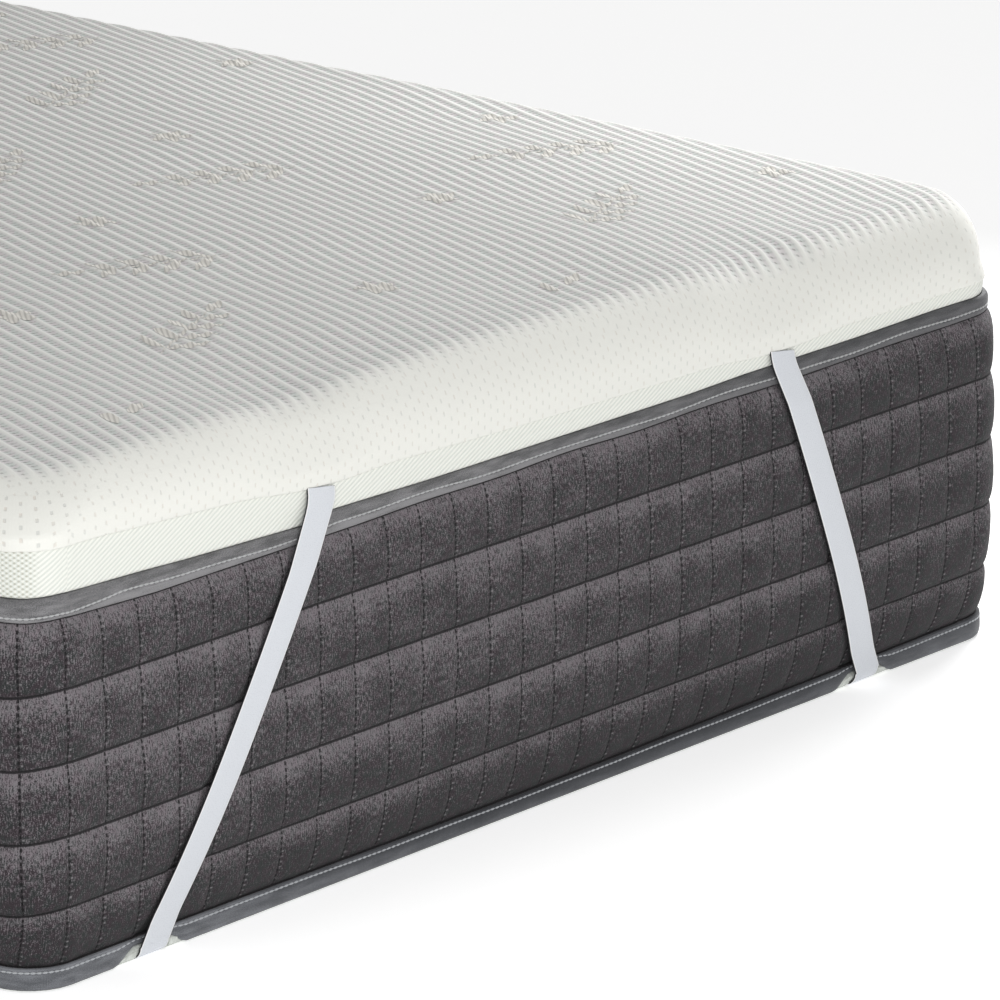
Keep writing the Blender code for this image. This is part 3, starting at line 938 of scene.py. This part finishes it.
def cover_side_rings(around):
    """Rings of points from under the panel's edge to the sewn foot."""
    pull = edge_pull(around, TOP, DIMPLE_SPREAD)
    seam = seam_height(edge_far(around), pull)
    bulge = between(seam, TOPPER_EDGE, BULGE_SHARE)
    dent = dent_pull(edge_frame(around)[0], pull)
    x, y = place(around, 0.0, 0.0).T[:2]
    turn = np.radians(SIDE_TURNS)[:, None]
    under = np.where(turn == turn[0], UNDERLAP, 0.0)
    inset = shoulder_inset(x, y, dent, turn) + under * np.cos(turn)
    shoulder = place(around, inset, 0.0, shoulder_radius(x, y, turn))
    crown = crown_height(shoulder[..., 0], shoulder[..., 1])
    shoulder[..., 2] = between(bulge, crown, np.sin(turn)) - under * np.sin(turn)
    share = np.array(SIDE_SHARES)[:, None]
    inset = between(shoulder_inset(x, y, dent, 0.0), SEAM_LIP_INSET, share**2)
    narrow = band_corner(around)
    radius = between(shoulder_radius(x, y, 0.0), narrow, share)
    wall = place(around, inset, between(bulge, seam, share), radius)
    inset, rise = np.array(SEAM_LIP).T[..., None]
    return np.concatenate([shoulder, wall, place(around, inset, seam + rise, narrow)])


def cover_side(material):
    around = even_round(SIDE_STEP)
    rings = cover_side_rings(around)
    across, whole = laid_along(rings[..., 0], rings[..., 1])
    ring = add_ring("cover_side", rings, material, np.unwrap(across, period=whole), -run_length(rings), whole)
    mark_points(ring, "pinned", 1 + CORNER_PINS * (1 - ramp(away_from(around, -ARC / 2), *CORNER_PINNED)))
    return ring


def topper_cover():
    material = ribbed_knit()
    panel, ribs = cover_top(material)
    cover = join([panel, cover_side(material)], "cover")
    settle(cover, "ribbed_knit", "topper_cover")
    settle(motif(ribs), "ribbed_knit")


# Woven motif: leafy sprigs and small blossoms


def petal(length, width=LEAF_WIDTH):
    """The outline of a leaf that runs from the origin along x."""
    share = np.linspace(0.0, 1.0, 9)
    upper = np.stack([share * length, width / 2 * np.sin(math.pi * share)], axis=1)
    return np.concatenate([upper, upper[-2:0:-1] * (1, -1)])


def turned(outline, angle, at):
    cos, sin = math.cos(angle), math.sin(angle)
    return outline @ np.array([(cos, sin), (-sin, cos)]) + at


def sprig():
    """A stem with four pairs of leaves along it, and one leaf at its tip."""
    parts = [petal(SPRIG, STEM_WIDTH), petal(TIP_LEAF) + (SPRIG - 0.004, 0.0)]
    for n in range(4):
        for turn in (-LEAF_TURN, LEAF_TURN):
            parts.append(turned(petal(LEAF - LEAF_LESS * n), turn, (LEAF_START + LEAF_GAP * n, 0.0)))
    return parts


def blossom():
    return [turned(petal(PETAL), 2 * math.pi * n / 5, (0.0, 0.0)) for n in range(5)]


def motif_outlines():
    """Sprigs in a half-drop layout, turned one way and the other, with a blossom between two."""
    outlines = []
    for column in range(-2, 3):
        for row in range(-4, 5):
            x = column * MOTIF_ACROSS
            y = (row + 0.5 * (column % 2)) * MOTIF_ALONG
            angle = math.radians(25.0 + 130.0 * (row % 2))
            parts = [turned(part, angle, (x, y)) for part in sprig()]
            parts += [turned(part, 0.3 * row, (x, y + MOTIF_ALONG / 2)) for part in blossom()]
            outlines += [part for part in parts if panel_room(part[:, 0], part[:, 1]).min() > MOTIF_MARGIN]
    return outlines


def motif_patch(outline, ribs):
    """Points over one shape, at every column of the ribs that crosses it: three on each column."""
    columns, rib_y, rib_z = ribs
    across = outline[:, 0] - outline[:, 1] * RIB_LEAN
    after, across_after = np.roll(outline, -1, axis=0), np.roll(across, -1)
    rows = []
    for n in np.flatnonzero((columns > across.min()) & (columns < across.max())):
        crossed = (across - columns[n]) * (across_after - columns[n]) < 0
        share = (columns[n] - across[crossed]) / (across_after - across)[crossed]
        y = outline[crossed, 1] + share * (after - outline)[crossed, 1]
        y = np.linspace(y.min(), y.max(), 3)
        z = np.interp(y, rib_y[:, n], rib_z[:, n]) + MOTIF_RISE
        rows.append(np.stack([on_rib(columns[n], y), y, z], axis=1))
    return np.array(rows)


def motif(ribs):
    points, faces, count = [], [], 0
    for outline in motif_outlines():
        rows = motif_patch(outline, ribs)
        if len(rows) > 1:
            faces.append(grid_faces(len(rows), 3, False)[:, ::-1] + count)
            points.append(rows.reshape(-1, 3))
            count += len(points[-1])
    points = np.concatenate(points)
    obj = add_piece("motif", points, np.concatenate(faces), motif_thread())
    lay_cloth(obj, points[:, 0], points[:, 1])
    return obj


# Mesh band


def band_corner(around):
    """The corner radius of the band: larger at the front right corner."""
    x, y = place(around, 0.0, 0.0).T[:2]
    return np.where((x > 0) & (y < 0), FRONT_RIGHT_BAND, FOOT_CORNER)


def topper_band():
    around = even_round(EDGE_STEP)
    radius = band_corner(around)
    seam = seam_height(edge_far(around), edge_pull(around, TOP, DIMPLE_SPREAD))
    uneven = BAND_SWELL * ripple(around / BAND_SWELL_LENGTH, 0.0, 3)
    low = TOPPER_FLOOR + 0.0001 + top_rise(around)
    share = np.array(BAND_SHARES)[:, None]
    inset = BAND_INSET + BAND_BULGE * (1 - np.sin(RIGHT_ANGLE * np.minimum(0.15 + share, 1.0)))
    height = between(low, seam + BAND_OVERLAP, share)
    face = place(around, inset + uneven * np.sin(math.pi * share), height, radius)
    rings = [place(around, BACKING_INSET, low, radius), *face]
    band = add_ring("band", rings, mesh_band(), around, [low - 0.002, *height], flip=False)
    corner = 1 - ramp(edge_frame(around)[1], *BAND_CROSSED)
    mark_points(band, "corner", np.where(edge_far(around) == 0, corner, 0.0))
    settle(band, "mesh_band", "topper_band")


# Mattress border


def barrel_inset(height):
    """The mattress side bulges at the middle of its height, and draws in more below than above."""
    most = np.where(height > BARREL_MIDDLE, BARREL_INSET_ABOVE, BARREL_INSET_BELOW)
    return most * (np.abs(height - BARREL_MIDDLE) / BARREL_HALF) ** BARREL_POWER


def top_tape_edges(around):
    """Heights of the top tape's lower and upper edges. It shows taller near the front left corner."""
    share = 1 - ramp(edge_far(around), *TOP_TAPE_SPAN)
    high = MATTRESS_TOP - 0.0003
    low = high - between(TOP_TAPE_SHORT, TOP_TAPE_TALL, share)
    low = low + TAPE_WAVE * ripple(around / TAPE_WAVE_LENGTH, 0.0, 33) * (1 - share / 2)
    rise = top_rise(around)
    return low + np.maximum(0.0, rise), high + rise


def bottom_tape_top(around):
    """The bottom tape is narrower in the middle of each short end, and taller near its far corner."""
    far = edge_far(around)
    return TAPE_HIGH - hump(far, *LOW_TAPE_DIP) + hump(far, *LOW_TAPE_RISE)


def seam_lean(around):
    """How far the upright seams have drifted at the bottom tape, and at the top one."""
    side, local, _ = edge_frame(around)
    share = np.where(local < 0, -local / ARC, local / STRAIGHT[side])
    return between(*SEAM_LEAN[0], share), between(*SEAM_LEAN[1], ramp(share, 0.70, 0.95))


def row_edges(around):
    """Heights of the seams between the rows, from the bottom tape to the top one."""
    drop = ROW_DROP + ROW_DROP_RIGHT * ramp(edge_far(around), *ROW_DROP_SPAN)
    drop = drop + ROW_DROP_CORNER * (1 - ramp(away_from(around, CORNER_LOWEST), *CORNER_REACH))
    low, high = bottom_tape_top(around) + 0.0004, top_tape_edges(around)[0] + 0.0003
    return [low, *(height - drop for height in CHANNEL_HEIGHTS), high]


def border_points(around, level):
    """The quilted surface: around is a length round the edge, and level is in rows from the bottom tape."""
    row = np.clip(np.floor(level), 0, ROWS - 1).astype(int)
    share = level - row
    edges = row_edges(around)
    low, high = np.choose(row, edges[:-1]), np.choose(row, edges[1:])
    height = between(low, high, share)
    off_middle = np.abs(2 * share - 1)
    cell_share = np.mod((around - FIRST_SEAM) / CELL, 1.0)
    sewn_upright = np.abs(2 * cell_share - 1) ** 5
    uneven = sum(most * ripple(around / wide, height / tall, seed) for most, wide, tall, seed in UNEVEN)
    down_lowest = np.where(row == 0, 1 - share, 0.0)
    up_highest = np.where(row == ROWS - 1, share, 0.0)
    depth = CHANNEL_DEPTH * off_middle**7 + PUFF_DEPTH * off_middle**2
    depth = depth + (1 - off_middle**7) * (SEAM_DEPTH * sewn_upright + uneven) + TUCK * up_highest**8
    depth = depth + pucker_depth(around, height - edges[0], edges[-1] - height)
    depth = depth + PRESS * under_strap(around, height)
    at_foot, at_top = seam_lean(around)
    lean = at_foot * down_lowest**1.6 + at_top * up_highest**1.5
    return around - lean, barrel_inset(height) + depth, height


def under_strap(around, height):
    """1 under a strap, falling to 0 just beside it, where the quilting is pressed in."""
    side, local, _ = edge_frame(around)
    edges = (STRAP_WIDTH / 2 + beside for beside in PRESS_EDGE)
    return strap_reach(side, FOOT_CORNER + local, lambda *strap: strap_centre(*strap, height), *edges)


def pucker_depth(around, above, below):
    """Small upright folds where the border is gathered under each tape, strongest near the corners."""
    side, local, _ = edge_frame(around)
    from_corner = np.minimum(np.abs(local), np.abs(STRAIGHT[side] - local))
    strong = between(FOLD_LEAST, 1.0, np.exp(-from_corner / FOLD_CORNER))
    near = np.exp(-below / FOLD_REACH_TOP) + np.exp(-above / FOLD_REACH_FOOT)
    folds = ripple(around / FOLD_LENGTH, 0.0, 21, 5)
    return FOLD_DEPTH * near * strong * (1 + folds) / 2


def border_side(index, material):
    """One side of the border, from the seam in one corner to the seam in the next."""
    middles = np.append(BEGIN, BEGIN[0] + AROUND) - ARC / 2
    seams = np.round((middles - FIRST_SEAM) / CELL).astype(int)
    cells = np.arange(seams[index], seams[index + 1])
    columns = np.append(np.add.outer(cells, CELL_COLUMNS).ravel(), seams[index + 1]) * CELL + FIRST_SEAM
    levels = np.append(np.add.outer(np.arange(ROWS), CELL_ROWS).ravel(), ROWS)
    around, level = np.meshgrid(columns, levels)
    moved, inset, height = border_points(around, level)
    first = place(moved[0], BACKING_INSET, height[0] - BORDER_TURN_IN)
    last = place(moved[-1], BACKING_INSET, height[-1] + BORDER_TURN_IN)
    rows = [first, *place(moved, inset, height), last]
    border = add_piece("border_" + SIDES[index], rows, grid_faces(len(rows), len(columns), False), material)
    along = np.concatenate([[-0.03], levels, [ROWS + 0.03]]) * ROW
    lay_cloth(border, columns, along[:, None])
    # Painted shade on the right of the front
    mark_points(border, "shaded", in_shade(columns))
    settle(border, "quilted_velour", "mattress_side")


def mattress_border():
    material = quilted_velour()
    for index in range(4):
        border_side(index, material)


# Bound edges


def top_tape(around):
    """The top tape's sewn and outer edge, how far in its face lies, and at what share its stitches run."""
    far = edge_far(around)
    uneven = STITCH_UNEVEN * ripple(around / STITCH_WAVE, 0.0, 31) * ramp(far, *STITCH_UNEVEN_FROM)
    return *top_tape_edges(around), TAPE_INSET, np.interp(far, *np.array(STITCH_SHARE).T) + uneven


def bottom_tape(around):
    """The same for the bottom tape, whose outer edge each strap lifts."""
    pull = edge_pull(around, FOOT, TAPE_SPREAD)
    stitched = LOW_STITCH_SHARE + LOW_STITCH_UNEVEN * ripple(around / STITCH_WAVE, 0.0, 32)
    return bottom_tape_top(around), TAPE_LOW + TAPE_LIFT * pull, LOW_TAPE_INSET + TAPE_PINCH * pull, stitched


def in_shade(around):
    """1 at the right of the front, where the pile and the tapes are painted darker as painted shade, and 0
    elsewhere.
    """
    return ramp(around, *DARKER) - ramp(around, *PALER)


def tape_shade(around, shares, flip):
    """Painted shade: the top tape darkens to the right, the bottom one in its middle, at its end and at its
    stitches.
    """
    if not flip:
        return TOP_TAPE_SHADE * in_shade(around + 0.05)
    far = edge_far(around)
    middle = 0.54 * ramp(far, 0.12, 0.42) * (1 - 0.50 * ramp(far, 0.62, 0.80))
    end = 0.20 * ramp(far, 0.80, 0.95)
    return middle + end + 0.36 * (1 - ramp(shares, 0.20, 0.85)) * ramp(far, 0.10, 0.25)


def tape(end, lie, material, flip):
    """A binding tape round the whole mattress."""
    around = even_round(EDGE_STEP)
    sewn, outer, face, stitched = lie(around)
    shares, drawn = np.array(TAPE_SHAPE).T[..., None]
    drawn = np.minimum(1.0, drawn + hump(shares, GROOVE, stitched, GROOVE_REACH))
    inset = np.pad(between(face, TAPE_BACK, drawn), ((1, 1), (0, 0)), constant_values=BACKING_INSET)
    shares = np.pad(shares, ((1, 1), (0, 0)), mode="edge")
    height = between(sewn, outer, shares)
    rings = place(around, inset, height)
    obj = add_ring("tape_" + end, rings, material, around, height, flip=flip)
    # Where the tape's lip gets painted light
    mark_points(obj, "lip", 1 - ramp(shares - stitched, -0.14, -0.04))
    mark_points(obj, "shade", tape_shade(around, shares, flip))
    settle(obj, "edge_tape", "mattress_tape_" + end)


def stitches(end, lie, material, clear):
    """A line of thread that sinks into the tape between its stitches."""
    around = even_round(STITCH_STEP)
    sewn, outer, face, stitched = lie(around)
    bead = np.resize(THREAD_BEADS, len(around))
    turn = np.radians((0, 90, 180, 270, 0))[:, None]
    inset = face + clear - THREAD_OUT * np.cos(turn) * bead + THREAD_SINK * (1 - bead)
    rings = place(around, inset, between(sewn, outer, stitched) + THREAD_UP * np.sin(turn) * bead)
    obj = add_ring("stitches_" + end, rings, material, around, np.arange(5)[:, None] * 0.0008)
    settle(obj, "edge_tape")


def mattress_tapes():
    cloth = edge_tape("tape_grey", tint(78, 78, 79), tint(130, 129, 131))
    tape("top", top_tape, cloth, False)
    stitches("top", top_tape, sewing_thread("thread_pale", (214, 215, 216)), 0.0003)
    cloth = edge_tape("tape_blue_grey", tint(76, 78, 82), tint(120, 122, 127))
    tape("bottom", bottom_tape, cloth, True)
    stitches("bottom", bottom_tape, sewing_thread("thread_grey", (206, 209, 213)), 0.0004)


# Elastic straps


def strap_inset(height, seam):
    """The inner face of a strap: straight from the seam to the mattress side, and lying on it below."""
    on_side = np.minimum(barrel_inset(height) - STRAP_CLEAR, STRAP_OVER_TAPE)
    touching = float(barrel_inset(STRAP_TOUCH)) - STRAP_CLEAR
    free = between(touching, STRAP_TOP_INSET, (height - STRAP_TOUCH) / (seam - STRAP_TOUCH))
    return np.where(height > STRAP_TOUCH, free, on_side)


def drift(below):
    """How far sideways a strap has gone at a depth below its seam, where its slant is one to one."""
    bent = np.clip(below / STRAP_BEND, 0.0, 1.0)
    return STRAP_BEND * (bent**3 - bent**4 / 2) + np.maximum(0.0, below - STRAP_BEND)


def strap_seam(side, way, top):
    """The height of the seam that a strap is sewn into."""
    return float(seam_height(far_from_front_left(side, from_start(side, way, top)), 1.0))


def strap_centre(side, way, top, foot, height):
    """How far from its corner the middle of a strap lies at a height."""
    seam = strap_seam(side, way, top)
    share = drift(seam - height) / drift(seam - FOOT_CENTRE_HEIGHT)
    return between(top, foot, np.minimum(1.0, share))


def strap_sections(side, way, top, foot):
    """Sections down one side and round under it: (inner left, inner right, outer left, outer right)."""
    seam = strap_seam(side, way, top)
    heights = np.linspace(seam, FOOT_CENTRE_HEIGHT, STRAP_ROWS)
    turn = RIGHT_ANGLE * np.arange(1, FOOT_STEPS + 1) / FOOT_STEPS
    faces = []
    for radius, gap in ((FOOT_RADIUS - STRAP_THICKNESS, 0.0), (FOOT_RADIUS, STRAP_THICKNESS)):
        inset = np.append(strap_inset(heights, seam) - gap, FOOT_CENTRE_INSET - radius * np.cos(turn))
        faces.append((inset, np.append(heights, FOOT_CENTRE_HEIGHT - radius * np.sin(turn))))
    inner_height = faces[0][1]
    distance = strap_centre(side, way, top, foot, inner_height)
    tilt = STRAP_TOP_TILT * np.exp(-(seam - inner_height) / STRAP_BEND) * way
    corner = START[side] if way > 0 else START[(side + 1) % 4]
    corners = []
    for inset, height in faces:
        for edge in (-1, 1):
            flat = np.outer(distance + edge * STRAP_WIDTH / 2, ALONG[side] * way) - np.outer(inset, OUT[side])
            corners.append(np.column_stack([corner + flat, height - edge * tilt]))
    return np.stack(corners, axis=1)


def strap(index, material):
    """One elastic: down one side, under the corner and up the next side."""
    sizes = STRAPS[index]
    down = strap_sections(index, 1, sizes.next_top, sizes.next_foot)
    up = strap_sections((index - 1) % 4, -1, sizes.last_top, sizes.last_foot)[::-1]
    under = np.linspace(down[-1], up[0], UNDER_STEPS + 1)[1:-1]
    path = np.concatenate([down, under, up])[:, :, None]
    wide, thick = np.array(STRAP_SHAPE).T
    left = between(path[:, 0], path[:, 2], thick[:, None])
    right = between(path[:, 1], path[:, 3], thick[:, None])
    rows = between(left, right, (wide[:, None] + 1) / 2)
    obj = add_piece(sizes.name + "_elastic", rows, grid_faces(*rows.shape[:2], True), material)
    along = run_length(rows.mean(axis=1))
    lay_cloth(obj, wide * STRAP_WIDTH / 2, along[:, None])
    settle(obj, "elastic", sizes.name)


def straps():
    material = elastic()
    for index in range(4):
        strap(index, material)


def underside(nodes):
    base = nodes["mattress_base"]
    base.data.materials.clear()
    base.data.materials.append(base_cloth())


# Surroundings


def camera():
    data = bpy.data.cameras.new("camera")
    data.sensor_width = 36.0
    data.lens = LENS
    data.clip_start = 0.1
    data.clip_end = 100.0
    obj = bpy.data.objects.new("camera", data)
    obj.location = CAMERA_PLACE
    obj.rotation_euler = (RIGHT_ANGLE - CAMERA_DIP, 0.0, -CAMERA_YAW)
    bpy.context.scene.collection.objects.link(obj)
    bpy.context.scene.camera = obj


def floor():
    corners = [(x * FLOOR, y * FLOOR, 0.0) for x, y in ((-1, -1), (1, -1), (1, 1), (-1, 1))]
    pale = Weave("floor", roughness=1.0, sheen=0.0)
    pale.set("Base Color", (0.93, 0.93, 0.93, 1.0))
    pale.set("Specular IOR Level", 0.0)
    pale.set("Emission Color", (1.0, 1.0, 1.0, 1.0))
    pale.set("Emission Strength", 0.42)
    add_piece("floor", corners, [(0, 1, 2, 3)], pale.material)


def lamp(name, where, target, size, power):
    data = bpy.data.lights.new(name, "AREA")
    data.shape = "DISK"
    data.size = size
    data.energy = power
    obj = bpy.data.objects.new(name, data)
    obj.location = where
    obj.rotation_mode = "QUATERNION"
    obj.rotation_quaternion = (Vector(target) - Vector(where)).to_track_quat("-Z", "Y")
    obj.visible_camera = False
    bpy.context.scene.collection.objects.link(obj)


def lights():
    world = bpy.data.worlds.new("studio")
    world.use_nodes = True
    background = world.node_tree.nodes["Background"].inputs
    background["Color"].default_value = (1.0, 1.0, 1.0, 1.0)
    background["Strength"].default_value = 0.52
    bpy.context.scene.world = world
    lamp("key", (-1.1, -2.1, 1.0), (-0.2, -0.95, 0.15), 0.9, 13.0)
    lamp("over", (0.95, -0.70, 0.65), (0.25, -0.75, 0.29), 0.4, 6.8)
    bpy.context.scene.view_settings.view_transform = "Standard"


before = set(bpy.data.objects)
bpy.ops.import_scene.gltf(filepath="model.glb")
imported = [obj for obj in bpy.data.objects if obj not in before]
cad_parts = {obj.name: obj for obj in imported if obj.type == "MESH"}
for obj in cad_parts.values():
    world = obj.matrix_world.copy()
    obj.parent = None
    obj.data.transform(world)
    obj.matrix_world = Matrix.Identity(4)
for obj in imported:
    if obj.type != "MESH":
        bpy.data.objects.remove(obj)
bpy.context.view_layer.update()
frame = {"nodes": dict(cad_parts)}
topper_cover()
topper_band()
mattress_border()
mattress_tapes()
straps()
underside(frame["nodes"])
floor()
lights()
camera()
